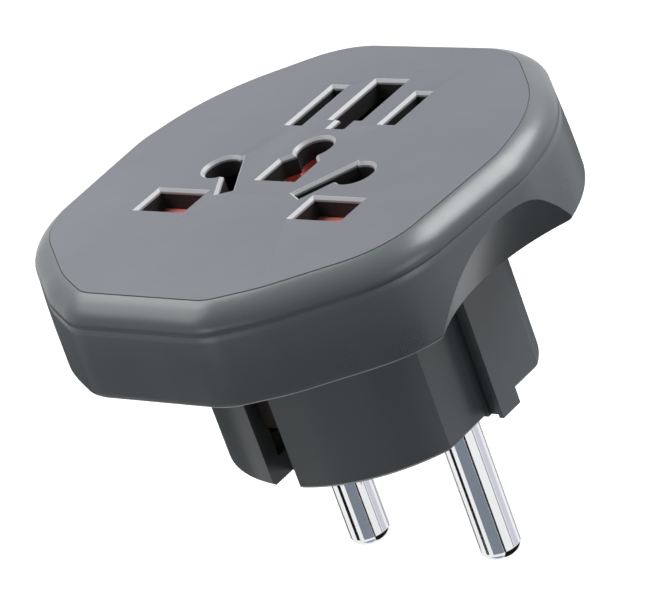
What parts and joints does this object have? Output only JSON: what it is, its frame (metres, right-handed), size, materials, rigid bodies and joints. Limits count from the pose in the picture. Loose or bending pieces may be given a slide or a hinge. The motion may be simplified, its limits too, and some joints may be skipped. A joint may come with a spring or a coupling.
{
  "type": "travel adapter",
  "caption": "Travel adapter whose flat socket head, with a sliding safety shutter under its openings, takes several foreign plug shapes above a round side-earthed plug with two round pins.",
  "frame": {"origin": "centre of the plug face, midway between the two plug pins, where the body meets the wall socket's floor", "axes": "+Z from the pins to the socket face; +Y towards the rectangular earth opening; +X to the live side"},
  "size_m": [0.056, 0.0581, 0.0495],
  "materials": {
    "face_grey": "fine satin, moulded",
    "shell_grey": "fine satin, moulded",
    "inner_black": "matte black, moulded",
    "shutter_red": "satin coral red, moulded",
    "pin_plating": "bright nickel plate",
    "contact_brass": "rolled strip",
    "dark_contact": "darkened strip",
    "spring_steel": "drawn wire",
    "screw_steel": "zinc plate"
  },
  "bodies": {
    "adapter": {"face_plate": "face_grey", "head_shell": "shell_grey", "socket_insert": "inner_black", "plug_base": "shell_grey", "plug_pin_left": "pin_plating", "plug_pin_right": "pin_plating", "earth_clip_front": "dark_contact", "earth_clip_rear": "dark_contact", "shutter_spring_left": "spring_steel", "shutter_spring_right": "spring_steel", "contact_carrier": "inner_black", "contact_cover": "inner_black", "live_bus": "contact_brass", "neutral_bus": "contact_brass", "live_uk_clip": "contact_brass", "live_us_clip": "contact_brass", "live_slant_clip": "contact_brass", "live_round_clip": "contact_brass", "neutral_uk_clip": "contact_brass", "neutral_us_clip": "contact_brass", "neutral_slant_clip": "contact_brass", "neutral_round_clip": "contact_brass", "earth_bar": "contact_brass", "earth_uk_clip": "contact_brass", "earth_centre_clip": "contact_brass", "earth_sleeve": "contact_brass", "pin_retainer": "inner_black", "retainer_screws": "screw_steel", "clip_rivets": "contact_brass", "housing_screws": "screw_steel"},
    "slider": {"shutter": "shutter_red"}
  },
  "joints": [
    {"name": "shutter_slide", "type": "slide", "parent": "adapter", "child": "slider", "axis": [0, -1, 0], "range_m": [0, 0.0048], "stiffness_N_per_m": 150, "springref_m": -0.003, "deforming": ["shutter_spring_left", "shutter_spring_right"]}
  ]
}
